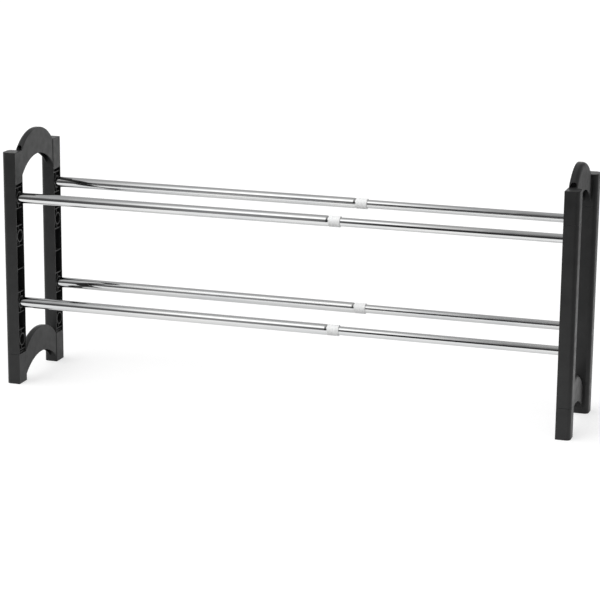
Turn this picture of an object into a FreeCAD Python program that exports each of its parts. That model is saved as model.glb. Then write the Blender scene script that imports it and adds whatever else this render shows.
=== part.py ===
import FreeCAD, Part
import math
import os

# A two-tier pull-out shoe rack. Two moulded end frames stand on their own feet and are joined by
# four telescopic rods: the large tubes are fixed in the left frame, the small ones in the right.
# Frame: X along the rods (left to right), Y front to back (front is -Y), Z up, floor at Z = 0,
# origin on the floor under the middle of the rack. Millimetres.

# ---- Layout of the rack ----
rack_length = 858.0  # outside to outside over both end frames, partly pulled out
frame_depth = 161.5  # front face to rear face of an end frame
post_width = 21.3  # size of a post along the rods
post_depth = 25.8  # size of a post from front to back
foot_height = 46.0  # floor to the seam under an upright
upright_length = 259.0  # seam to seam
head_height = 47.0  # seam to the flat top of a post

# ---- Mouldings ----
outer_rounding = 6.5  # long edges of every post on the outside of the rack
edge_chamfer = 0.5  # long edges of every post towards the rods
skin_wall = 1.8  # outer wall of an upright, behind its sockets
flange_wall = 1.5  # front and rear walls of an upright
recess_bevel = 3.0  # corners of an upright's recess, inside its round edges
end_wall = 2.2  # walls that close an upright's ends
block_wall = 2.4  # walls of the hollow heads and feet
core_bevel = 2.0  # corners of all hollows, and of the plugs, inside the outer roundings and bevels
plug_height = 12.0  # stub of an upright inside a head or a foot
plug_wall = 1.8
plug_clearance = 0.15  # all round a plug
plug_lead = 1.0  # chamfer on a plug's tip
foot_chamfer = 1.6  # bevel of a foot at the floor
head_chamfer = 0.8  # bevel of a post's flat top

# ---- Arches ----
arch_thickness = 12.0  # plate of an arch, along the rods
arch_step = 0.6  # the plate lies this far behind the post's inner face
head_arch_rise = 26.0  # crown of a top arch above the flat post tops
head_opening_spring = 9.0  # start of the handle opening above the upper seam
head_opening_rise = 25.0
foot_arch_rise = 25.0  # crown of a foot arch above the lower seam
foot_opening_spring = 9.0  # start of the cut-out above the floor
foot_opening_rise = 22.5
arch_bevel = 4.0  # bevel along an arch's top edge on the outside of the rack
arch_root = 1.6  # depth to which a plate runs into its blocks
arch_wall = 2.4  # skin over an arch's hollow, which is open underneath
arch_side_wall = 1.5  # skins on both sides of the hollow
keyhole_height = 6.4  # small doorway at the root of a top arch
keyhole_depth = 12.0

# ---- Rod sockets in an upright ----
outer_socket_offset = 108.0  # end sockets, from the middle of an upright
inner_socket_offset = 50.5  # inner sockets, from the middle of an upright
ring_wall = 1.6
ring_recess = 0.3  # a ring's rim lies this far inside the open face
rib_wall = 1.6
rib_recess = 1.2
cross_rib_offset = 15.5  # cross ribs above and below a socket
stub_recess = 2.0

# ---- Telescopic rods ----
outer_tube_diameter = 16.0
inner_tube_diameter = 13.0
tube_wall = 0.6
outer_tube_length = 499.0
inner_tube_length = 499.0
seat_clearance = 0.05  # radial, a tube in its socket, or a sleeve or spigot in a tube
running_clearance = 0.1  # radial, pieces that slide in one another
collar_length = 17.0  # part of a collar outside the tube
collar_sleeve_length = 25.0  # part of a collar inside the tube
glide_head_length = 30.0
glide_spigot_length = 15.0
glide_head_flats = 12.4  # across the flats that let air past the plug
glide_spigot_flats = 10.0

# ---- Places that follow from the sizes above ----
left_face = -rack_length / 2
front_face = -frame_depth / 2
half_gap = frame_depth / 2 - post_depth
upper_seam = foot_height + upright_length
post_top = upper_seam + head_height
upright_middle = foot_height + upright_length / 2
plug_inset = block_wall + plug_clearance
arch_face = left_face + post_width - arch_step - arch_thickness
hollow_width = arch_thickness - 2 * arch_side_wall
rod_offset = frame_depth / 2 - post_depth / 2
top_rod_height = upright_middle + outer_socket_offset
low_rod_height = upright_middle - inner_socket_offset
outer_tube_bore = outer_tube_diameter - 2 * tube_wall
inner_tube_bore = inner_tube_diameter - 2 * tube_wall

X_AXIS = FreeCAD.Vector(1, 0, 0)
Y_AXIS = FreeCAD.Vector(0, 1, 0)
ORIGIN = FreeCAD.Vector(0, 0, 0)


def box_between(x0, x1, y0, y1, z0, z1):
    corner = FreeCAD.Vector(x0, y0, z0)
    return Part.makeBox(x1 - x0, y1 - y0, z1 - z0, corner)


def rod_along_x(x0, x1, y, z, diameter):
    return Part.makeCylinder(diameter / 2, x1 - x0, FreeCAD.Vector(x0, y, z), X_AXIS)


def upright_edges(shape, x):
    """Upright straight edges of a shape at a place along the rods."""
    found = []
    for edge in shape.Edges:
        box = edge.BoundBox
        if box.XLength < 1e-4 and box.YLength < 1e-4 and abs(box.XMin - x) < 1e-4:
            found.append(edge)
    return found


def rim_edges(shape, height):
    """Edges that lie wholly in the horizontal plane at a height."""
    found = []
    for edge in shape.Edges:
        box = edge.BoundBox
        if abs(box.ZMin - height) < 1e-4 and abs(box.ZMax - height) < 1e-4:
            found.append(edge)
    return found


def post_bar(z0, z1, rims):
    """Solid front left post, some rims bevelled: round edges outside, small bevels towards the rods."""
    inner_face = left_face + post_width
    bar = box_between(left_face, inner_face, front_face, front_face + post_depth, z0, z1)
    bar = bar.makeFillet(outer_rounding, upright_edges(bar, left_face))
    for height, bevel in rims.items():
        bar = bar.makeChamfer(bevel, rim_edges(bar, height))
    return bar.makeChamfer(edge_chamfer, upright_edges(bar, inner_face))


def core_bar(x0, x1, inset, z0, z1, bevel):
    """Bar inside the front left post, with bevels where the post outside is round."""
    bar = box_between(x0, x1, front_face + inset, front_face + post_depth - inset, z0, z1)
    return bar.makeChamfer(bevel, upright_edges(bar, x0))


def mirrored(shape, direction):
    return shape.mirror(ORIGIN, direction)


# ---- Upright: a channel open towards the middle of the rack, with ring sockets and ribs ----
def plug(end_height, direction):
    """Hollow stub that stands out of an upright's end and fits inside a head or a foot."""
    x0 = left_face + plug_inset
    x1 = left_face + post_width - plug_inset
    tip = end_height + direction * plug_height
    root = end_height - direction * end_wall
    stub = core_bar(x0, x1, plug_inset, min(root, tip), max(root, tip), core_bevel)
    stub = stub.makeChamfer(plug_lead, rim_edges(stub, tip))
    core_end = tip + direction
    core = core_bar(
        x0 + plug_wall, x1 - plug_wall, plug_inset + plug_wall,
        min(end_height, core_end), max(end_height, core_end), core_bevel,
    )
    return stub.cut(core)


def upright(tube_diameter):
    """Front left upright, with sockets that fit tubes of the given diameter."""
    open_face = left_face + post_width
    skin_face = left_face + skin_wall
    y_middle = front_face + post_depth / 2
    bore = tube_diameter + 2 * seat_clearance
    ring_diameter = bore + 2 * ring_wall

    channel = post_bar(foot_height, upper_seam, {})
    recess = core_bar(
        skin_face, open_face + 1, flange_wall,
        foot_height + end_wall, upper_seam - end_wall, recess_bevel,
    )
    # The end walls lie as far behind the open face as the plugs do.
    end_step = box_between(
        open_face - plug_inset, open_face + 1,
        front_face + flange_wall, front_face + post_depth - flange_wall, foot_height - 1, upper_seam + 1,
    )
    channel = channel.cut([recess, end_step])

    additions = [plug(upper_seam, 1), plug(foot_height, -1)]
    bores = []
    rib_heights = [upright_middle]
    for offset in (outer_socket_offset, inner_socket_offset, -inner_socket_offset, -outer_socket_offset):
        height = upright_middle + offset
        rim = open_face - ring_recess
        additions.append(rod_along_x(skin_face - skin_wall / 2, rim, y_middle, height, ring_diameter))
        additions.append(box_between(
            skin_face - skin_wall / 2, open_face - stub_recess,
            y_middle - rib_wall / 2, y_middle + rib_wall / 2,
            height - cross_rib_offset, height + cross_rib_offset,
        ))
        rib_heights += [height - cross_rib_offset, height + cross_rib_offset]
        bores.append(rod_along_x(skin_face, open_face + 1, y_middle, height, bore))
    for height in rib_heights:
        additions.append(core_bar(
            skin_face - skin_wall / 2, open_face - rib_recess, flange_wall / 2,
            height - rib_wall / 2, height + rib_wall / 2, recess_bevel,
        ))
    return channel.fuse(additions).removeSplitter().cut(bores)


# ---- Arch pieces: two hollow blocks that continue the posts, joined by an arched plate ----
def arc_radius(rise):
    """Radius of an arc that spans the gap between the posts with the given rise."""
    return (half_gap ** 2 + rise ** 2) / (2 * rise)


def arc_height(y, crown, radius):
    """Height at a distance y from the middle, on an arc with its crown at a height."""
    return crown - radius + math.sqrt(radius ** 2 - y ** 2)


def arc_across(crown, rise):
    """Arc on an arch's outer face, run a little into both blocks, and its two ends."""
    reach = half_gap + arch_root
    end_height = arc_height(reach, crown, arc_radius(rise))
    ends = [FreeCAD.Vector(arch_face, side * reach, end_height) for side in (-1, 1)]
    return Part.Arc(ends[0], FreeCAD.Vector(arch_face, 0, crown), ends[1]).toShape(), ends


def edges_on_face(shape, x, lowest):
    """Edges of a shape that lie at a place along the rods, wholly above a height."""
    found = []
    for edge in shape.Edges:
        box = edge.BoundBox
        if abs(box.XMin - x) < 1e-4 and abs(box.XMax - x) < 1e-4 and box.ZMin > lowest:
            found.append(edge)
    return found


def arch_plate(outer_base, outer_rise, opening_base, opening_rise):
    """Plate between two arcs, run a little into the blocks, its top edges bevelled as the posts' are."""
    opening_crown = opening_base + opening_rise
    outer_arc, outer_ends = arc_across(outer_base + outer_rise, outer_rise)
    opening_arc, opening_ends = arc_across(opening_crown, opening_rise)
    front_end = Part.LineSegment(opening_ends[0], outer_ends[0]).toShape()
    rear_end = Part.LineSegment(outer_ends[1], opening_ends[1]).toShape()
    outline = Part.Wire([outer_arc, rear_end, opening_arc, front_end])
    plate = Part.Face(outline).extrude(FreeCAD.Vector(arch_thickness, 0, 0))
    plate = plate.makeChamfer(arch_bevel, edges_on_face(plate, arch_face, opening_crown))
    return plate.makeChamfer(edge_chamfer, edges_on_face(plate, arch_face + arch_thickness, opening_crown))


def arch_hollow(outer_base, outer_rise, opening_base):
    """Hollow between the side skins of an arch, open underneath, with a roof of four flats."""
    x = arch_face + arch_side_wall
    roof_crown = outer_base + outer_rise - arch_wall
    radius = arc_radius(outer_rise) - arch_wall
    corners = [FreeCAD.Vector(x, half_gap, opening_base - 1), FreeCAD.Vector(x, -half_gap, opening_base - 1)]
    for share in (-1, -0.5, 0, 0.5, 1):
        y = share * half_gap
        corners.append(FreeCAD.Vector(x, y, arc_height(y, roof_crown, radius)))
    outline = Part.makePolygon(corners + corners[:1])
    hollow = Part.Face(outline).extrude(FreeCAD.Vector(hollow_width, 0, 0))
    return hollow.makeChamfer(core_bevel, edges_on_face(hollow, x, opening_base))


def block_cavity(z0, z1):
    """Hollow of a head or a foot, in which an upright's plug sits."""
    return core_bar(
        left_face + block_wall, left_face + post_width - block_wall, block_wall, z0, z1, core_bevel,
    )


def keyhole():
    """Doorway with a round head at the root of a top arch, as wide as the arch's hollow."""
    radius = hollow_width / 2
    x_middle = arch_face + arch_thickness / 2
    spring = post_top + keyhole_height - radius
    door = box_between(
        x_middle - radius, x_middle + radius, -half_gap, -half_gap + keyhole_depth, post_top, spring,
    )
    head = Part.makeCylinder(radius, keyhole_depth, FreeCAD.Vector(x_middle, -half_gap, spring), Y_AXIS)
    return door.fuse(head)


def in_both_rows(front_shape):
    """A front shape and its twin at the rear."""
    return [front_shape, mirrored(front_shape, Y_AXIS)]


def top_arch():
    head = post_bar(upper_seam, post_top, {post_top: head_chamfer})
    plate = arch_plate(post_top, head_arch_rise, upper_seam + head_opening_spring, head_opening_rise)
    solid = plate.fuse(in_both_rows(head))
    cavity = block_cavity(upper_seam - 1, post_top - block_wall)
    hollow = arch_hollow(post_top, head_arch_rise, upper_seam + head_opening_spring)
    return solid.cut(in_both_rows(cavity) + in_both_rows(keyhole()) + [hollow])


def foot_arch():
    foot = post_bar(0, foot_height, {0: foot_chamfer})
    plate = arch_plate(foot_height, foot_arch_rise, foot_opening_spring, foot_opening_rise)
    solid = plate.fuse(in_both_rows(foot))
    cavity = block_cavity(block_wall, foot_height + 1)
    hollow = arch_hollow(foot_height, foot_arch_rise, foot_opening_spring)
    return solid.cut(in_both_rows(cavity) + [hollow])


# ---- Rods: turned and drawn pieces, each modelled on the X axis and then put in its place ----
def turned(profile):
    """Solid of revolution about the X axis from a closed outline of (x, radius) points."""
    points = [FreeCAD.Vector(x, 0, radius) for x, radius in profile]
    outline = Part.makePolygon(points + points[:1])
    return Part.Face(outline).revolve(ORIGIN, X_AXIS, 360)


def tube(x0, x1, diameter):
    """Drawn tube, cut square."""
    outside = diameter / 2
    inside = outside - tube_wall
    return turned([(x0, outside), (x1, outside), (x1, inside), (x0, inside)])


outer_tube_start = left_face + skin_wall
outer_tube_end = outer_tube_start + outer_tube_length
inner_tube_end = -left_face - skin_wall
inner_tube_start = inner_tube_end - inner_tube_length


def outer_tube():
    return tube(outer_tube_start, outer_tube_end, outer_tube_diameter)


def inner_tube():
    return tube(inner_tube_start, inner_tube_end, inner_tube_diameter)


def collar():
    """Reducing collar: a ring as large as the outer tube, and a sleeve inside its mouth."""
    ring = outer_tube_diameter / 2
    sleeve = outer_tube_bore / 2 - seat_clearance
    bore = inner_tube_diameter / 2 + running_clearance
    sleeve_end = outer_tube_end - collar_sleeve_length
    far_end = outer_tube_end + collar_length
    return turned([
        (sleeve_end, bore), (sleeve_end, sleeve),
        (outer_tube_end, sleeve), (outer_tube_end, ring), (far_end, ring), (far_end, bore),
    ])


def flatted_bar(x0, x1, diameter, across_flats):
    """Round bar with four flats, on the X axis."""
    half = across_flats / 2
    return rod_along_x(x0, x1, 0, 0, diameter).common(box_between(x0, x1, -half, half, -half, half))


def glide():
    """Plug on the inner tube's hidden end: a spigot inside it, and a head that slides in the outer tube."""
    head_start = inner_tube_start - glide_head_length
    spigot_end = inner_tube_start + glide_spigot_length
    head_diameter = outer_tube_bore - 2 * running_clearance
    spigot_diameter = inner_tube_bore - 2 * seat_clearance
    head = flatted_bar(head_start, inner_tube_start, head_diameter, glide_head_flats)
    spigot = flatted_bar(inner_tube_start, spigot_end, spigot_diameter, glide_spigot_flats)
    return head.fuse(spigot)


# ---- Assembly: one file for each piece ----
os.makedirs("parts", exist_ok=True)


def save(name, shape):
    shape.exportStep("parts/" + name + ".step")


left_front = upright(outer_tube_diameter)
right_front = mirrored(upright(inner_tube_diameter), X_AXIS)
save("left_front_upright", left_front)
save("left_rear_upright", mirrored(left_front, Y_AXIS))
save("right_front_upright", right_front)
save("right_rear_upright", mirrored(right_front, Y_AXIS))

for place, piece in (("top", top_arch()), ("foot", foot_arch())):
    save("left_" + place + "_arch", piece)
    save("right_" + place + "_arch", mirrored(piece, X_AXIS))

rod_pieces = {"outer_tube": outer_tube(), "collar": collar(), "inner_tube": inner_tube(), "glide": glide()}
for tier, height in (("top", top_rod_height), ("low", low_rod_height)):
    for row, y in (("front", -rod_offset), ("rear", rod_offset)):
        for name, piece in rod_pieces.items():
            save(name + "_" + tier + "_" + row, piece.translated(FreeCAD.Vector(0, y, height)))

# Travel of the right frame: in until its sockets meet the collars, out until the glides meet them.
right_ring_rim = -left_face - post_width + ring_recess
print("travel in", right_ring_rim - (outer_tube_end + collar_length))
print("travel out", outer_tube_end - collar_sleeve_length - inner_tube_start)
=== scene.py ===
import math

import bpy
from mathutils import Matrix, Vector


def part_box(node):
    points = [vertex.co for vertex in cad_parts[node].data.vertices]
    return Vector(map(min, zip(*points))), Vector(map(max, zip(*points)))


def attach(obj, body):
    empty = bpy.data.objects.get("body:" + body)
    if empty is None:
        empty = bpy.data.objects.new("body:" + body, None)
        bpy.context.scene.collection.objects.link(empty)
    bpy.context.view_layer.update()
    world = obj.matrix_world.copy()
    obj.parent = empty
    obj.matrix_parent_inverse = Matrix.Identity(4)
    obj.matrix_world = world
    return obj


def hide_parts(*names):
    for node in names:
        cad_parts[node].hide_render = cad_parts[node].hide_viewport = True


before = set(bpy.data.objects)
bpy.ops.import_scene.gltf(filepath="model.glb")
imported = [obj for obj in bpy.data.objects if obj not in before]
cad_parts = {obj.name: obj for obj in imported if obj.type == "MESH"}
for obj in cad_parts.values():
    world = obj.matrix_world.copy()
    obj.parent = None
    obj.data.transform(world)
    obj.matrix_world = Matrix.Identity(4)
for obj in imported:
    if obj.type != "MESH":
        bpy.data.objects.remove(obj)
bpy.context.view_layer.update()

# ---- Foot arches ----
# Each end frame stands on one moulding of black polypropylene: two hollow feet, joined from front
# to back by an arched plate with a cut-out under it. An upright plugs into the top of each foot.
foot_low, foot_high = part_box("left_foot_arch")
upright_low, upright_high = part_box("left_front_upright")
plug_height = 0.012
seam_low = upright_low.z + plug_height
seam_high = upright_high.z - plug_height
outer_face = foot_low.x
inner_face = foot_high.x
frame_front = foot_low.y
post_depth = upright_high.y - upright_low.y
half_gap = -frame_front - post_depth
block_wall = 0.0024
outer_rounding = 0.0065
outer_rounding_steps = 10
inner_rounding = 0.0005
inner_rounding_steps = 3
core_bevel = 0.0020
foot_rounding = 0.0020
seam_rounding = 0.0006

arch_thickness = 0.012
arch_step = 0.0006
arch_root = 0.0016
arch_wall = 0.0024
arch_side_wall = 0.0015
plate_inside = inner_face - arch_step
plate_outside = plate_inside - arch_thickness
foot_opening_spring = 0.009
foot_opening_rise = 0.0225
round_steps = 256
touching = 1e-6
on_circle = 2e-5


def edit(piece, elements="EDGE"):
    """Readies one piece for edit mode: nothing is selected, and one kind of element can be."""
    bpy.ops.object.select_all(action="DESELECT")
    bpy.context.view_layer.objects.active = piece
    piece.select_set(True)
    bpy.ops.object.mode_set(mode="EDIT")
    bpy.ops.mesh.select_mode(type=elements)
    bpy.ops.mesh.select_all(action="DESELECT")
    bpy.ops.object.mode_set(mode="OBJECT")


def block(name, low, high):
    """Rectangular block between two corners."""
    size = Vector(high) - Vector(low)
    middle = (Vector(high) + Vector(low)) / 2
    bpy.ops.object.select_all(action="DESELECT")
    bpy.ops.mesh.primitive_cube_add(size=1, location=middle, scale=size)
    bpy.ops.object.transform_apply(location=True, rotation=True, scale=True)
    piece = bpy.context.object
    piece.name = name
    return piece


def round_bar(name, start, end, radius, steps=96):
    """Round bar along X between two points."""
    start = Vector(start)
    length = Vector(end).x - start.x
    bpy.ops.object.select_all(action="DESELECT")
    bpy.ops.mesh.primitive_cylinder_add(
        vertices=steps, radius=radius, depth=length,
        location=start + Vector((length / 2, 0, 0)), rotation=(0, math.pi / 2, 0),
    )
    bpy.ops.object.transform_apply(location=True, rotation=True, scale=True)
    piece = bpy.context.object
    piece.name = name
    return piece


def round_edges(piece, width, steps, wanted):
    """Rounds the edges whose two ends satisfy a test of place."""
    edit(piece)
    mesh = piece.data
    for edge in mesh.edges:
        ends = [mesh.vertices[i].co for i in edge.vertices]
        edge.select = wanted(ends[0], ends[1])
    bpy.ops.object.mode_set(mode="EDIT")
    bpy.ops.mesh.bevel(offset=width, segments=steps, affect="EDGES", clamp_overlap=True)
    bpy.ops.object.mode_set(mode="OBJECT")


def upright_edges_at(x):
    """Test for the upright edges at a place along the rods."""
    def test(a, b):
        return all(abs(gap) < touching for gap in (a.x - x, b.x - x, a.y - b.y))
    return test


def edges_at_height(height):
    """Test for the level edges at a height."""
    return lambda a, b: abs(a.z - height) < touching and abs(b.z - height) < touching


def join_to(piece, tool, operation):
    """Adds another piece to this one, or cuts it away."""
    modifier = piece.modifiers.new(operation.lower(), "BOOLEAN")
    modifier.operation = operation
    modifier.solver = "EXACT"
    modifier.object = tool
    bpy.context.view_layer.objects.active = piece
    bpy.ops.object.modifier_apply(modifier=modifier.name)
    bpy.data.objects.remove(tool)


def arc_radius(rise):
    """Radius of an arc that spans the gap between two posts with a given rise."""
    return (half_gap ** 2 + rise ** 2) / (2 * rise)


def slice_of_disc(name, x_range, centre, radius, reach, bottom):
    """Disc about X, cut off in front, at the back and below."""
    disc = round_bar(name, (x_range[0], 0, centre), (x_range[1], 0, centre), radius, round_steps)
    cuts = (
        (Vector((0, reach, 0)), Vector((0, 1, 0))),
        (Vector((0, -reach, 0)), Vector((0, -1, 0))),
        (Vector((0, 0, bottom)), Vector((0, 0, -1))),
    )
    for place, normal in cuts:
        edit(disc)
        bpy.ops.object.mode_set(mode="EDIT")
        bpy.ops.mesh.select_all(action="SELECT")
        bpy.ops.mesh.bisect(plane_co=place, plane_no=normal, use_fill=True, clear_outer=True)
        bpy.ops.object.mode_set(mode="OBJECT")
    return disc


def arch_plate(outer_base, outer_rise, opening_base, opening_rise):
    """Slice of a disc, round along its rim outside, with its opening cut out and hollow underneath."""
    outer_radius = arc_radius(outer_rise)
    centre = outer_base + outer_rise - outer_radius
    bottom = opening_base - block_wall
    plate = slice_of_disc(
        "plate", (plate_outside, plate_inside), centre, outer_radius, half_gap + arch_root, bottom,
    )

    def along_rim(x, radius):
        def test(a, b):
            on_rim = [abs(math.hypot(p.y, p.z - centre) - radius) < on_circle for p in (a, b)]
            return all(on_rim) and abs(a.x - x) < touching and abs(b.x - x) < touching
        return test

    round_edges(plate, outer_rounding, outer_rounding_steps, along_rim(plate_outside, outer_radius))
    round_edges(plate, inner_rounding, inner_rounding_steps, along_rim(plate_inside, outer_radius))
    hollow_outside = plate_outside + arch_side_wall
    hollow_radius = outer_radius - arch_wall
    hollow = slice_of_disc(
        "hollow", (hollow_outside, plate_inside - arch_side_wall),
        centre, hollow_radius, half_gap, bottom - block_wall,
    )
    round_edges(hollow, core_bevel, 1, along_rim(hollow_outside, hollow_radius))
    join_to(plate, hollow, "DIFFERENCE")
    opening_radius = arc_radius(opening_rise)
    opening_centre = opening_base + opening_rise - opening_radius
    opening = round_bar(
        "opening", (plate_outside - arch_root, 0, opening_centre),
        (plate_inside + arch_root, 0, opening_centre), opening_radius, round_steps,
    )
    join_to(plate, opening, "DIFFERENCE")
    return plate


def mirror(piece, flip):
    """Mirrors a piece across the middle of the rack, in X or in Y."""
    edit(piece)
    bpy.ops.object.mode_set(mode="EDIT")
    bpy.ops.mesh.select_all(action="SELECT")
    bpy.ops.transform.resize(value=flip, center_override=(0, 0, 0))
    bpy.ops.mesh.normals_make_consistent(inside=False)
    bpy.ops.object.mode_set(mode="OBJECT")


def twin(piece, name, flip):
    """Mirrored copy with its own mesh."""
    copy = piece.copy()
    copy.data = piece.data.copy()
    copy.name = name
    bpy.context.collection.objects.link(copy)
    mirror(copy, flip)
    return copy


FLIP_X = (-1, 1, 1)
FLIP_Y = (1, -1, 1)


def post_block(name, low_end, high_end):
    """Length of the front left post, round outside and nearly sharp towards the rods."""
    low = (outer_face, frame_front, low_end)
    post = block(name, low, (inner_face, frame_front + post_depth, high_end))
    round_edges(post, outer_rounding, outer_rounding_steps, upright_edges_at(outer_face))
    round_edges(post, inner_rounding, inner_rounding_steps, upright_edges_at(inner_face))
    return post


def core_block(name, x_range, inset, heights, bevel):
    """Block inside the front left post, bevelled where the post outside is round."""
    core = block(
        name, (x_range[0], frame_front + inset, min(heights)),
        (x_range[1], frame_front + post_depth - inset, max(heights)),
    )
    round_edges(core, bevel, 1, upright_edges_at(x_range[0]))
    return core


def block_hollow(low_end, high_end):
    """Hollow of a head or a foot."""
    x_range = (outer_face + block_wall, inner_face - block_wall)
    return core_block("hollow", x_range, block_wall, (low_end, high_end), core_bevel)


def foot_block():
    """Hollow front left foot, with a round edge at the floor."""
    foot = post_block("foot", 0, seam_low)
    round_edges(foot, foot_rounding, 4, edges_at_height(0))
    round_edges(foot, seam_rounding, 2, edges_at_height(seam_low))
    join_to(foot, block_hollow(block_wall, seam_low + block_wall), "DIFFERENCE")
    return foot


def soft_shading(piece):
    """Smooth shading in which flat walls stay flat and straight tubes stay straight."""
    bpy.ops.object.shade_smooth_by_angle(angle=math.radians(40))
    weighted = piece.modifiers.new("flat walls", "WEIGHTED_NORMAL")
    weighted.keep_sharp = True
    bpy.ops.object.modifier_apply(modifier=weighted.name)


def moulding_finish(piece, name, material):
    """Last steps of a moulding: clean mesh, soft shading and its plastic."""
    edit(piece)
    bpy.ops.object.mode_set(mode="EDIT")
    bpy.ops.mesh.select_all(action="SELECT")
    bpy.ops.mesh.remove_doubles(threshold=touching)
    bpy.ops.mesh.normals_make_consistent(inside=False)
    bpy.ops.object.mode_set(mode="OBJECT")
    soft_shading(piece)
    piece.name = name
    piece.data.name = name
    piece.data.materials.clear()
    piece.data.materials.append(material)


def new_material(name):
    """Material with a principled shader; returns it with its nodes, links and shader."""
    material = bpy.data.materials.new(name)
    material.use_nodes = True
    nodes = material.node_tree.nodes
    return material, nodes, material.node_tree.links, nodes["Principled BSDF"]


def noise(nodes, links, coordinates, scale, detail=2.0, stretch=(1, 1, 1)):
    """Noise in object space, with an optional stretch per axis."""
    mapping = nodes.new("ShaderNodeMapping")
    mapping.inputs["Scale"].default_value = stretch
    links.new(coordinates, mapping.inputs["Vector"])
    texture = nodes.new("ShaderNodeTexNoise")
    texture.inputs["Scale"].default_value = scale
    texture.inputs["Detail"].default_value = detail
    links.new(mapping.outputs["Vector"], texture.inputs["Vector"])
    return texture.outputs["Fac"]


def spread(nodes, links, value, low, high):
    """Maps the middle of a noise to a range of values."""
    span = nodes.new("ShaderNodeMapRange")
    span.inputs["From Min"].default_value = 0.3
    span.inputs["From Max"].default_value = 0.7
    span.inputs["To Min"].default_value = low
    span.inputs["To Max"].default_value = high
    links.new(value, span.inputs["Value"])
    return span.outputs["Result"]


def black_polypropylene():
    """Satin black plastic with the fine grain of an eroded mould, and a painted highlight that makes
    its edges a little paler.
    """
    material, nodes, links, shader = new_material("black_polypropylene")
    shader.inputs["Specular IOR Level"].default_value = 0.37
    place = nodes.new("ShaderNodeTexCoord").outputs["Object"]

    clouds = spread(nodes, links, noise(nodes, links, place, 38, 4), 0, 1)
    body = nodes.new("ShaderNodeMix")
    body.data_type = "RGBA"
    body.inputs["A"].default_value = (0.0172, 0.0175, 0.0178, 1)
    body.inputs["B"].default_value = (0.0242, 0.0244, 0.0245, 1)
    links.new(clouds, body.inputs["Factor"])

    soft_edge = nodes.new("ShaderNodeBevel")
    soft_edge.samples = 6
    soft_edge.inputs["Radius"].default_value = 0.0007
    true_normal = nodes.new("ShaderNodeNewGeometry").outputs["Normal"]
    facing = nodes.new("ShaderNodeVectorMath")
    facing.operation = "DOT_PRODUCT"
    links.new(soft_edge.outputs["Normal"], facing.inputs[0])
    links.new(true_normal, facing.inputs[1])
    # Painted highlight: a mask of the edges, from the bevel's bent normal, broken into random patches.
    edge = nodes.new("ShaderNodeMapRange")
    edge.inputs["From Min"].default_value = 0.99
    edge.inputs["From Max"].default_value = 0.80
    links.new(facing.outputs["Value"], edge.inputs["Value"])
    highlight_patches = spread(nodes, links, noise(nodes, links, place, 260, 3), 0.0, 0.8)
    rubbed = nodes.new("ShaderNodeMath")
    rubbed.operation = "MULTIPLY"
    links.new(edge.outputs["Result"], rubbed.inputs[0])
    links.new(highlight_patches, rubbed.inputs[1])
    # The painted highlight's pale grey, mixed into the base colour along the edges.
    colour = nodes.new("ShaderNodeMix")
    colour.data_type = "RGBA"
    colour.inputs["B"].default_value = (0.045, 0.045, 0.044, 1)
    links.new(rubbed.outputs["Value"], colour.inputs["Factor"])
    links.new(body.outputs["Result"], colour.inputs["A"])
    links.new(colour.outputs["Result"], shader.inputs["Base Color"])

    sheen_patches = spread(nodes, links, noise(nodes, links, place, 90, 3), 0.36, 0.47)
    links.new(sheen_patches, shader.inputs["Roughness"])

    grain = nodes.new("ShaderNodeBump")
    grain.inputs["Strength"].default_value = 0.25
    grain.inputs["Distance"].default_value = 0.00005
    links.new(noise(nodes, links, place, 1500, 2), grain.inputs["Height"])
    sink = nodes.new("ShaderNodeBump")
    sink.inputs["Strength"].default_value = 0.30
    sink.inputs["Distance"].default_value = 0.0003
    links.new(noise(nodes, links, place, 22, 1), sink.inputs["Height"])
    links.new(soft_edge.outputs["Normal"], sink.inputs["Normal"])
    links.new(sink.outputs["Normal"], grain.inputs["Normal"])
    links.new(grain.outputs["Normal"], shader.inputs["Normal"])
    return material


frame_plastic = black_polypropylene()

foot_arch = arch_plate(seam_low, foot_high.z - seam_low, foot_opening_spring, foot_opening_rise)
front_foot = foot_block()
rear_foot = twin(front_foot, "rear_foot", FLIP_Y)
join_to(foot_arch, front_foot, "UNION")
join_to(foot_arch, rear_foot, "UNION")
right_foot_arch = twin(foot_arch, "right_foot_arch", FLIP_X)
for side, piece in (("left", foot_arch), ("right", right_foot_arch)):
    moulding_finish(piece, side + "_foot_moulding", frame_plastic)
    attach(piece, side + "_frame")
    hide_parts(side + "_foot_arch")

# ---- Uprights ----
# Four black polypropylene channels, open towards the middle of the rack. Inside each, four ring
# sockets for the rods stand on the outer wall, stiffened by thin ribs; two of the four are spare.
skin_wall = 0.0018
flange_wall = 0.0015
end_wall = 0.0022
recess_bevel = 0.0030
plug_wall = 0.0018
plug_clearance = 0.00015
plug_lead = 0.001
ring_wall = 0.0016
ring_recess = 0.0003
rib_wall = 0.0016
rib_recess = 0.0012
stub_recess = 0.0020
rim_rounding = 0.0003
outer_socket_offset = 0.108
inner_socket_offset = 0.0505
cross_rib_offset = 0.0155
seat_clearance = 0.00005
plug_inset = block_wall + plug_clearance
upright_middle = (seam_low + seam_high) / 2
post_middle = frame_front + post_depth / 2
socket_offsets = (outer_socket_offset, inner_socket_offset, -inner_socket_offset, -outer_socket_offset)


def soften_free_edge(wall, open_edge):
    """Slightly rounds the edges of a thin wall that face the open side."""
    round_edges(wall, rim_rounding, 2, lambda a, b: min(a.x, b.x) > open_edge - touching)


def upright_plug(end, direction):
    """Hollow stub that goes into a head or a foot."""
    tip = end + direction * plug_height
    x_range = (outer_face + plug_inset, inner_face - plug_inset)
    stub = core_block("stub", x_range, plug_inset, (end - direction * end_wall, tip), core_bevel)
    round_edges(stub, plug_lead, 1, edges_at_height(tip))
    core_range = (x_range[0] + plug_wall, x_range[1] - plug_wall)
    core_ends = (end, tip + direction * end_wall)
    core = core_block("core", core_range, plug_inset + plug_wall, core_ends, core_bevel)
    join_to(stub, core, "DIFFERENCE")
    return stub


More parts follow.
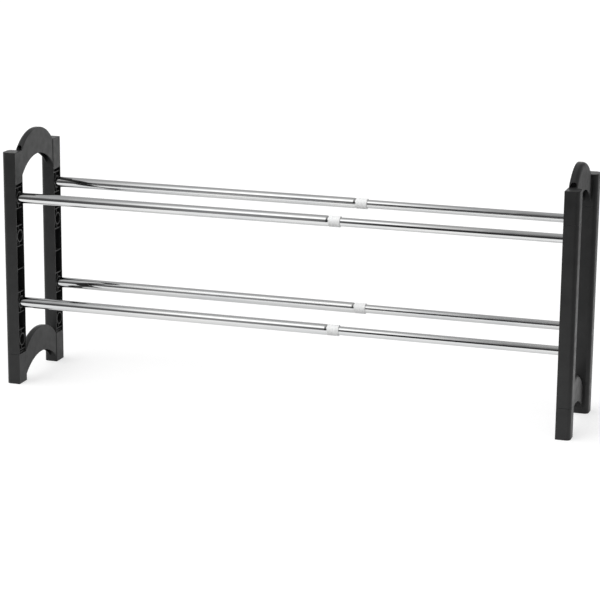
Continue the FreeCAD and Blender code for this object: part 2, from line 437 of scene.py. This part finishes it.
def upright_channel(tube_diameter):
    """Front left upright, with sockets for tubes of one diameter."""
    channel = post_block("channel", seam_low, seam_high)
    round_edges(channel, seam_rounding, 2, edges_at_height(seam_low))
    round_edges(channel, seam_rounding, 2, edges_at_height(seam_high))
    beyond = inner_face + skin_wall
    heights = (seam_low + end_wall, seam_high - end_wall)
    recess = core_block("recess", (outer_face + skin_wall, beyond), flange_wall, heights, recess_bevel)
    join_to(channel, recess, "DIFFERENCE")
    end_step = block(
        "end_step", (inner_face - plug_inset, frame_front + flange_wall, seam_low - end_wall),
        (beyond, frame_front + post_depth - flange_wall, seam_high + end_wall),
    )
    join_to(channel, end_step, "DIFFERENCE")

    foot_of_ribs = outer_face + skin_wall / 2
    bore = tube_diameter / 2 + seat_clearance
    rim = inner_face - ring_recess
    rib_edge = inner_face - rib_recess
    stub_edge = inner_face - stub_recess
    rib_heights = [upright_middle]
    for offset in socket_offsets:
        height = upright_middle + offset
        ring_foot = (foot_of_ribs, post_middle, height)
        ring = round_bar("ring", ring_foot, (rim, post_middle, height), bore + ring_wall)
        soften_free_edge(ring, rim)
        stub = block(
            "stub", (foot_of_ribs, post_middle - rib_wall / 2, height - cross_rib_offset),
            (stub_edge, post_middle + rib_wall / 2, height + cross_rib_offset),
        )
        soften_free_edge(stub, stub_edge)
        join_to(channel, ring, "UNION")
        join_to(channel, stub, "UNION")
        rib_heights += [height - cross_rib_offset, height + cross_rib_offset]
    for height in rib_heights:
        rib_faces = (height - rib_wall / 2, height + rib_wall / 2)
        rib = core_block("rib", (foot_of_ribs, rib_edge), flange_wall / 2, rib_faces, recess_bevel)
        soften_free_edge(rib, rib_edge)
        join_to(channel, rib, "UNION")
    for offset in socket_offsets:
        seat_place = Vector((outer_face + skin_wall, post_middle, upright_middle + offset))
        seat = round_bar("seat", seat_place, (beyond, post_middle, upright_middle + offset), bore)
        join_to(channel, seat, "DIFFERENCE")
    join_to(channel, upright_plug(seam_high, 1), "UNION")
    join_to(channel, upright_plug(seam_low, -1), "UNION")
    return channel


outer_tube_low, outer_tube_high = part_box("outer_tube_top_front")
inner_tube_low, inner_tube_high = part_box("inner_tube_top_front")
outer_tube_radius = (outer_tube_high.y - outer_tube_low.y) / 2
inner_tube_radius = (inner_tube_high.y - inner_tube_low.y) / 2

left_front = upright_channel(2 * outer_tube_radius)
left_rear = twin(left_front, "left_rear", FLIP_Y)
right_front = upright_channel(2 * inner_tube_radius)
mirror(right_front, FLIP_X)
right_rear = twin(right_front, "right_rear", FLIP_Y)
uprights = (
    ("left_front", left_front), ("left_rear", left_rear),
    ("right_front", right_front), ("right_rear", right_rear),
)
for place, piece in uprights:
    moulding_finish(piece, place + "_channel", frame_plastic)
    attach(piece, place.split("_")[0] + "_frame")
    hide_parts(place + "_upright")

# ---- Outer tubes ----
# Four drawn steel tubes of 16 mm, bright chromed, pressed into the sockets of the left uprights.
# Each mouth is rolled in a little round the collar that it holds.
tube_wall = 0.0006
cut_rounding = 0.0002
mouth_length = 0.0045
mouth_draw = 0.0006
mouth_steps = 6


def tube(name, low, high):
    """Tube along X that fills a node's box: a bar, inset at both ends and bridged through."""
    radius = (high.y - low.y) / 2
    middle = (low + high) / 2
    piece = round_bar(name, (low.x, middle.y, middle.z), (high.x, middle.y, middle.z), radius)
    edit(piece, "FACE")
    for face in piece.data.polygons:
        face.select = abs(face.normal.x) > 0.9
    bpy.ops.object.mode_set(mode="EDIT")
    bpy.ops.mesh.inset(thickness=tube_wall, use_individual=True)
    bpy.ops.mesh.bridge_edge_loops()
    bpy.ops.object.mode_set(mode="OBJECT")
    return piece


def ring_edge(x, radius, axis):
    """Test for the edges of a circle about a rod's axis."""
    def test(a, b):
        on_ring = [abs(math.hypot(p.y - axis.y, p.z - axis.z) - radius) < on_circle for p in (a, b)]
        return all(on_ring) and abs(a.x - x) < touching and abs(b.x - x) < touching
    return test


def bright_chrome():
    """Polished chrome plate: faint lines along the tube from polishing, and hazy finger marks."""
    material, nodes, links, shader = new_material("bright_chrome")
    place = nodes.new("ShaderNodeTexCoord").outputs["Object"]
    shader.inputs["Metallic"].default_value = 1.0
    tint = nodes.new("ShaderNodeMix")
    tint.data_type = "RGBA"
    tint.inputs["A"].default_value = (0.67, 0.68, 0.69, 1)
    tint.inputs["B"].default_value = (0.76, 0.76, 0.755, 1)
    patches = noise(nodes, links, place, 30, 3, (0.3, 1, 1))
    links.new(spread(nodes, links, patches, 0, 1), tint.inputs["Factor"])
    links.new(tint.outputs["Result"], shader.inputs["Base Color"])
    haze = spread(nodes, links, noise(nodes, links, place, 60, 4), 0.03, 0.10)
    links.new(haze, shader.inputs["Roughness"])
    lines = nodes.new("ShaderNodeBump")
    lines.inputs["Strength"].default_value = 0.05
    lines.inputs["Distance"].default_value = 0.00002
    links.new(noise(nodes, links, place, 2200, 2, (0.01, 1, 1)), lines.inputs["Height"])
    links.new(lines.outputs["Normal"], shader.inputs["Normal"])
    return material


def finish_round(piece, material):
    """Soft shading for a turned or drawn piece, and its finish."""
    edit(piece)
    soft_shading(piece)
    piece.data.materials.clear()
    piece.data.materials.append(material)


def in_four_rods(piece, node, name, body):
    """Sends a piece made for the front rod of the top shelf to all four rods."""
    home = Vector(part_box(node + "_top_front")[0])
    for place in ("top_front", "top_rear", "low_front", "low_rear"):
        copy = piece.copy()
        copy.data = piece.data.copy()
        copy.name = name + "_" + place
        copy.data.name = copy.name
        bpy.context.collection.objects.link(copy)
        edit(copy)
        bpy.ops.object.mode_set(mode="EDIT")
        bpy.ops.mesh.select_all(action="SELECT")
        bpy.ops.transform.translate(value=Vector(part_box(node + "_" + place)[0]) - home)
        bpy.ops.object.mode_set(mode="OBJECT")
        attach(copy, body)
        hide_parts(node + "_" + place)
    bpy.data.objects.remove(piece)


def draw_in(piece, x, axis, radius, depth):
    """Draws the outside of a tube in by a depth, at one place along it."""
    edit(piece, "VERT")
    for vertex in piece.data.vertices:
        outside = math.hypot(vertex.co.y - axis.y, vertex.co.z - axis.z) > radius - tube_wall / 2
        vertex.select = abs(vertex.co.x - x) < touching and outside
    bpy.ops.object.mode_set(mode="EDIT")
    smaller = 1 - depth / radius
    bpy.ops.transform.resize(value=(1, smaller, smaller), center_override=(x, axis.y, axis.z))
    bpy.ops.object.mode_set(mode="OBJECT")


tube_chrome = bright_chrome()
low, high = outer_tube_low, outer_tube_high
axis = (low + high) / 2
outer_rod = tube("outer_rod", low, high)
round_edges(outer_rod, cut_rounding, 2, ring_edge(low.x, outer_tube_radius, axis))
for step in range(1, mouth_steps + 1):
    share = step / mouth_steps
    place = high.x - mouth_length * (1 - share)
    if step < mouth_steps:
        edit(outer_rod)
        bpy.ops.object.mode_set(mode="EDIT")
        bpy.ops.mesh.select_all(action="SELECT")
        bpy.ops.mesh.bisect(plane_co=(place, 0, 0), plane_no=(1, 0, 0))
        bpy.ops.object.mode_set(mode="OBJECT")
    draw_in(outer_rod, place, axis, outer_tube_radius, mouth_draw * share ** 2)
finish_round(outer_rod, tube_chrome)
in_four_rods(outer_rod, "outer_tube", "outer_rod", "left_frame")

# ---- Collars ----
# A milky, half clear plastic collar closes each mouth. Its sleeve is pressed into the outer tube,
# and the thinner tube slides through its bore.
collar_rounding = 0.0005


def milky_plastic():
    """Unfilled polypropylene: milky and half clear, with faint flow clouds."""
    material, nodes, links, shader = new_material("milky_plastic")
    place = nodes.new("ShaderNodeTexCoord").outputs["Object"]
    shader.inputs["Transmission Weight"].default_value = 0.06
    shader.inputs["IOR"].default_value = 1.49
    milk = nodes.new("ShaderNodeMix")
    milk.data_type = "RGBA"
    milk.inputs["A"].default_value = (0.955, 0.96, 0.96, 1)
    milk.inputs["B"].default_value = (0.97, 0.975, 0.97, 1)
    clouds = noise(nodes, links, place, 140, 3, (0.4, 1, 1))
    links.new(spread(nodes, links, clouds, 0, 1), milk.inputs["Factor"])
    links.new(milk.outputs["Result"], shader.inputs["Base Color"])
    sheen = spread(nodes, links, noise(nodes, links, place, 300, 2), 0.22, 0.34)
    links.new(sheen, shader.inputs["Roughness"])
    grain = nodes.new("ShaderNodeBump")
    grain.inputs["Strength"].default_value = 0.05
    grain.inputs["Distance"].default_value = 0.00002
    links.new(noise(nodes, links, place, 1200, 2), grain.inputs["Height"])
    links.new(grain.outputs["Normal"], shader.inputs["Normal"])
    return material


collar_plastic = milky_plastic()
running_clearance = 0.0001
low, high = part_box("collar_top_front")
mouth = outer_tube_high.x
sleeve_radius = outer_tube_radius - tube_wall - seat_clearance
collar = round_bar("collar", (low.x, axis.y, axis.z), (mouth, axis.y, axis.z), sleeve_radius)
edit(collar, "FACE")
for face in collar.data.polygons:
    face.select = face.normal.x > 0.9
bpy.ops.object.mode_set(mode="EDIT")
bpy.ops.mesh.extrude_region_move(TRANSFORM_OT_translate={"value": (0, 0, 0)})
widen = outer_tube_radius / sleeve_radius
bpy.ops.transform.resize(value=(1, widen, widen), center_override=(mouth, axis.y, axis.z))
bpy.ops.mesh.extrude_region_move(TRANSFORM_OT_translate={"value": (high.x - mouth, 0, 0)})
bpy.ops.object.mode_set(mode="OBJECT")
for x in (mouth, high.x):
    round_edges(collar, collar_rounding, 4, ring_edge(x, outer_tube_radius, axis))
beyond = Vector((mouth_length, 0, 0))
bore_start = Vector((low.x, axis.y, axis.z)) - beyond
bore_end = Vector((high.x, axis.y, axis.z)) + beyond
bore = round_bar("bore", bore_start, bore_end, inner_tube_radius + running_clearance)
join_to(collar, bore, "DIFFERENCE")
finish_round(collar, collar_plastic)
in_four_rods(collar, "collar", "collar_ring", "left_frame")

# ---- Glide plugs ----
# White nylon plugs pressed into the hidden ends of the thin tubes. Their heads slide in the outer
# tubes and stop at the collars' sleeves, so that the rack can't be pulled apart.


def white_nylon():
    """Natural nylon: off-white, with long flow marks and a rubbed surface."""
    material, nodes, links, shader = new_material("white_nylon")
    place = nodes.new("ShaderNodeTexCoord").outputs["Object"]
    tone = nodes.new("ShaderNodeMix")
    tone.data_type = "RGBA"
    tone.inputs["A"].default_value = (0.62, 0.61, 0.58, 1)
    tone.inputs["B"].default_value = (0.74, 0.73, 0.70, 1)
    flow = noise(nodes, links, place, 200, 3, (0.2, 1, 1))
    links.new(spread(nodes, links, flow, 0, 1), tone.inputs["Factor"])
    links.new(tone.outputs["Result"], shader.inputs["Base Color"])
    sheen = spread(nodes, links, noise(nodes, links, place, 500, 2), 0.40, 0.55)
    links.new(sheen, shader.inputs["Roughness"])
    rubbed = nodes.new("ShaderNodeBump")
    rubbed.inputs["Strength"].default_value = 0.2
    rubbed.inputs["Distance"].default_value = 0.00003
    links.new(noise(nodes, links, place, 1500, 2, (0.05, 1, 1)), rubbed.inputs["Height"])
    links.new(rubbed.outputs["Normal"], shader.inputs["Normal"])
    return material


glide_plastic = white_nylon()
for place in ("top_front", "top_rear", "low_front", "low_rear"):
    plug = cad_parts["glide_" + place]
    plug.data.materials.clear()
    plug.data.materials.append(glide_plastic)

# ---- Inner tubes ----
# Four thinner chromed tubes of 13 mm, pressed into the right uprights. They run through the
# collars and slide inside the outer tubes as the rack is pulled out.
low, high = inner_tube_low, inner_tube_high
axis = (low + high) / 2
inner_rod = tube("inner_rod", low, high)
for x in (low.x, high.x):
    round_edges(inner_rod, cut_rounding, 2, ring_edge(x, inner_tube_radius, axis))
finish_round(inner_rod, tube_chrome)
in_four_rods(inner_rod, "inner_tube", "inner_rod", "right_frame")

# ---- Top arches ----
# The same black plastic closes each end frame at the top: two hollow heads that take the uprights'
# plugs, and an arched plate with a hand hold under it. Small doorways core out the arch's roots.
arch_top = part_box("left_top_arch")[1].z
head_height = 0.047
post_top = seam_high + head_height
head_opening_spring = 0.009
head_opening_rise = 0.025
head_rounding = 0.0012
keyhole_height = 0.0064
keyhole_depth = 0.012
keyhole_overlap = 0.00002


def head_block():
    """Hollow front left head, with a soft edge round its flat top."""
    head = post_block("head", seam_high, post_top)
    round_edges(head, head_rounding, 4, edges_at_height(post_top))
    round_edges(head, seam_rounding, 2, edges_at_height(seam_high))
    join_to(head, block_hollow(seam_high - block_wall, post_top - block_wall), "DIFFERENCE")
    return head


def keyhole():
    """Small doorway with a round head, just inside a post, that leads into the arch's hollow."""
    radius = arch_thickness / 2 - arch_side_wall
    middle = plate_inside - arch_thickness / 2
    door = block(
        "door", (middle - radius, -half_gap, post_top - keyhole_overlap),
        (middle + radius, -half_gap + keyhole_depth, post_top + keyhole_height),
    )

    def top_corner(a, b):
        on_top = min(a.z, b.z) > post_top + keyhole_height - touching
        return on_top and abs(a.x - b.x) < touching

    round_edges(door, radius * 0.98, 12, top_corner)
    return door


top_arch = arch_plate(
    post_top, arch_top - post_top, seam_high + head_opening_spring, head_opening_rise,
)
front_head = head_block()
rear_head = twin(front_head, "rear_head", FLIP_Y)
join_to(top_arch, front_head, "UNION")
join_to(top_arch, rear_head, "UNION")
front_keyhole = keyhole()
rear_keyhole = twin(front_keyhole, "rear_keyhole", FLIP_Y)
join_to(top_arch, front_keyhole, "DIFFERENCE")
join_to(top_arch, rear_keyhole, "DIFFERENCE")
right_top_arch = twin(top_arch, "right_top_arch", FLIP_X)
for side, piece in (("left", top_arch), ("right", right_top_arch)):
    moulding_finish(piece, side + "_top_moulding", frame_plastic)
    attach(piece, side + "_frame")
    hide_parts(side + "_top_arch")

# ---- Floor and surroundings ----
# A wide pale floor under a studio sky: dark in front, with one soft box high on the left and a
# window low beside it, grey overhead, pale on the right, and pale behind but for one dark panel.
# In gloss the floor ends a little in front of the rack and to its right, and under the rack it glows
# less: a painted shade.
floor_size = 60.0
floor_glow = 0.60
# The floor's glow in gloss under the rack, lowered as a painted shade.
under_rack_shaded_glow = 0.30
beside_rack_glow = 0.50
floor_front_end = (-0.75, -1.05)
floor_right_end = (0.52, 0.72)
back_level = 1.3
soft_box_level = 1.3


def arithmetic(operation, a, b):
    """Math node; each input is a socket or a number."""
    node = nodes.new("ShaderNodeMath")
    node.operation = operation
    for socket, value in zip(node.inputs, (a, b)):
        if isinstance(value, (int, float)):
            socket.default_value = value
        else:
            links.new(value, socket)
    return node.outputs["Value"]


def ranged(value, ends, levels, course="LINEAR"):
    """Level that runs between two ends of a value."""
    node = nodes.new("ShaderNodeMapRange")
    node.interpolation_type = course
    node.inputs["From Min"].default_value, node.inputs["From Max"].default_value = ends
    node.inputs["To Min"].default_value, node.inputs["To Max"].default_value = levels
    links.new(value, node.inputs["Value"])
    return node.outputs["Result"]


def grey_ramp(value, stops):
    """Grey level against a value, through a list of stops."""
    ramp = nodes.new("ShaderNodeValToRGB")
    elements = ramp.color_ramp.elements
    elements[0].position, elements[0].color = stops[0][0], (stops[0][1],) * 3 + (1,)
    elements[1].position, elements[1].color = stops[-1][0], (stops[-1][1],) * 3 + (1,)
    for position, level in stops[1:-1]:
        elements.new(position).color = (level,) * 3 + (1,)
    links.new(value, ramp.inputs["Fac"])
    return ramp.outputs["Color"]


bpy.ops.object.select_all(action="DESELECT")
bpy.ops.mesh.primitive_plane_add(size=floor_size, location=(0, 0, 0))
floor = bpy.context.object
floor.name = "floor"
floor_material, nodes, links, shader = new_material("pale_floor")
shader.inputs["Base Color"].default_value = (0.50, 0.50, 0.50, 1)
shader.inputs["Roughness"].default_value = 0.8
shader.inputs["Specular IOR Level"].default_value = 0.1
rays = nodes.new("ShaderNodeLightPath")
place = nodes.new("ShaderNodeSeparateXYZ")
links.new(nodes.new("ShaderNodeTexCoord").outputs["Object"], place.inputs["Vector"])
seen = arithmetic("MAXIMUM", rays.outputs["Is Camera Ray"], rays.outputs["Is Transmission Ray"])
# Painted shade: seen in gloss, the floor glows less under the rack than in front of it, behind it and
# beside it.
in_front = ranged(place.outputs["Y"], (-0.30, 0.10), (floor_glow, under_rack_shaded_glow))
behind = ranged(place.outputs["Y"], (0.25, 0.65), (under_rack_shaded_glow, floor_glow))
beside = ranged(place.outputs["X"], (0.42, 0.46), (under_rack_shaded_glow, beside_rack_glow))
around = arithmetic("MAXIMUM", arithmetic("MAXIMUM", in_front, behind), beside)
reflected = arithmetic("MULTIPLY", rays.outputs["Is Glossy Ray"], around)
shader.inputs["Emission Color"].default_value = (1, 1, 1, 1)
glow = arithmetic("MAXIMUM", arithmetic("MULTIPLY", seen, floor_glow), reflected)
links.new(glow, shader.inputs["Emission Strength"])
beyond_end = arithmetic(
    "MAXIMUM", ranged(place.outputs["Y"], floor_front_end, (0, 1), "SMOOTHSTEP"),
    ranged(place.outputs["X"], floor_right_end, (0, 1), "SMOOTHSTEP"),
)
fade = nodes.new("ShaderNodeMixShader")
links.new(arithmetic("MULTIPLY", rays.outputs["Is Glossy Ray"], beyond_end), fade.inputs["Fac"])
links.new(shader.outputs["BSDF"], fade.inputs[1])
links.new(nodes.new("ShaderNodeBsdfTransparent").outputs["BSDF"], fade.inputs[2])
links.new(fade.outputs["Shader"], nodes["Material Output"].inputs["Surface"])
floor.data.materials.append(floor_material)

world = bpy.data.worlds.new("studio")
bpy.context.scene.world = world
world.use_nodes = True
nodes = world.node_tree.nodes
links = world.node_tree.links
direction = nodes.new("ShaderNodeTexCoord").outputs["Generated"]
parts = nodes.new("ShaderNodeSeparateXYZ")
links.new(direction, parts.inputs["Vector"])

# Height of a direction as seen along the rods: 0 at the horizon, 1 overhead.
across = arithmetic("SUBTRACT", 1.0, arithmetic("MULTIPLY", parts.outputs["X"], parts.outputs["X"]))
height = arithmetic("DIVIDE", parts.outputs["Z"], arithmetic("SQRT", across, 0.0))
leftward = arithmetic("MULTIPLY", parts.outputs["X"], -1.0)
front_sky = grey_ramp(
    height,
    (
        (0.0, 0.035), (0.28, 0.035), (0.41, 0.06), (0.55, 0.12),
        (0.71, 0.22), (0.84, 0.30), (0.93, 0.35), (1.0, 0.42),
    ),
)
back_sky = grey_ramp(
    height,
    (
        (0.0, 1.0), (0.20, 1.0), (0.30, 0.33), (0.45, 0.33),
        (0.67, 0.37), (0.82, 0.355), (0.93, 0.34), (1.0, 0.325),
    ),
)
soft_box_reach = grey_ramp(
    leftward,
    (
        (0.0, 0.0), (0.205, 0.0), (0.229, 0.32), (0.254, 0.80), (0.268, 1.0), (0.340, 1.0),
        (0.362, 0.76), (0.38, 0.42), (0.40, 0.15), (0.45, 0.15), (1.0, 0.3),
    ),
)
soft_box_reach = arithmetic("MULTIPLY", soft_box_reach, soft_box_level)
soft_box_band = grey_ramp(
    height,
    (
        (0.0, 0.0), (0.47, 0.0), (0.62, 0.8), (0.69, 1.0),
        (0.88, 1.0), (0.94, 0.66), (0.985, 0.32), (1.0, 0.18),
    ),
)
soft_box_spill = grey_ramp(height, ((0.0, 0.0), (0.93, 0.0), (0.985, 0.08), (1.0, 0.18)))
window_reach = grey_ramp(
    leftward,
    ((0.0, 0.0), (0.26, 0.0), (0.31, 0.26), (0.335, 0.32), (0.365, 0.14), (0.40, 0.05), (1.0, 0.05)),
)
window_band = grey_ramp(height, ((0.0, 1.0), (0.35, 0.9), (0.6, 0.3), (1.0, 0.0)))
front_lights = arithmetic("MULTIPLY", soft_box_band, soft_box_reach)
front_lights = arithmetic("ADD", front_lights, arithmetic("MULTIPLY", window_reach, window_band))
front = arithmetic("ADD", front_sky, front_lights)
back = arithmetic("MULTIPLY", back_sky, back_level)
dark_panel = grey_ramp(
    parts.outputs["X"],
    (
        (0.0, 1.0), (0.05, 0.85), (0.11, 0.04), (0.29, 0.04),
        (0.39, 1.1), (0.48, 1.1), (0.62, 0.1), (1.0, 0.1),
    ),
)
back = arithmetic("MULTIPLY", back, dark_panel)
back = arithmetic("ADD", back, arithmetic("MULTIPLY", soft_box_spill, soft_box_reach))
towards_front = ranged(parts.outputs["Y"], (0.10, -0.10), (0, 1), "SMOOTHSTEP")
glow = arithmetic("MULTIPLY", arithmetic("SUBTRACT", front, back), towards_front)
right_wall = grey_ramp(parts.outputs["X"], ((0.0, 0.0), (0.5, 0.0), (0.75, 0.3), (1.0, 0.4)))
studio = arithmetic("ADD", arithmetic("ADD", back, glow), right_wall)

# What is seen past the floor is white; the studio shows only in the light and in the gloss.
rays = nodes.new("ShaderNodeLightPath")
seen = arithmetic("MAXIMUM", rays.outputs["Is Camera Ray"], rays.outputs["Is Transmission Ray"])
unseen = arithmetic("SUBTRACT", 1.0, seen)
level = arithmetic("ADD", arithmetic("MULTIPLY", studio, unseen), seen)
links.new(level, nodes["Background"].inputs["Strength"])
nodes["Background"].inputs["Color"].default_value = (1, 1, 1, 1)

# ---- Lamps ----
# One broad, distant soft light stands high on the left, a little in front of the rack.
key_from = Vector((-0.40, -0.50, 0.77))
key_spread = math.radians(90)
key_strength = 2.3
bpy.ops.object.light_add(type="SUN", location=key_from * 3)
key_light = bpy.context.object
key_light.name = "key_light"
key_light.data.energy = key_strength
key_light.data.angle = key_spread
key_light.visible_glossy = False
key_light.rotation_euler = key_from.to_track_quat("Z", "Y").to_euler()

# ---- Camera ----
# It looks down on the front of the rack from the right.
camera_place = Vector((0.9529, -2.9384, 0.9141))
camera_turn = math.radians(17.836)
camera_tilt = math.radians(13.952)
camera_roll = math.radians(0.539)
camera_lens = 130.30
bpy.ops.object.camera_add()
camera = bpy.context.object
camera.data.lens = camera_lens
camera.data.sensor_width = 36
camera.data.clip_end = 200
aim = Matrix.Rotation(camera_turn, 4, "Z") @ Matrix.Rotation(math.pi / 2 - camera_tilt, 4, "X")
camera.matrix_world = Matrix.Translation(camera_place) @ aim @ Matrix.Rotation(camera_roll, 4, "Z")
scene = bpy.context.scene
scene.camera = camera
scene.view_settings.view_transform = "Standard"
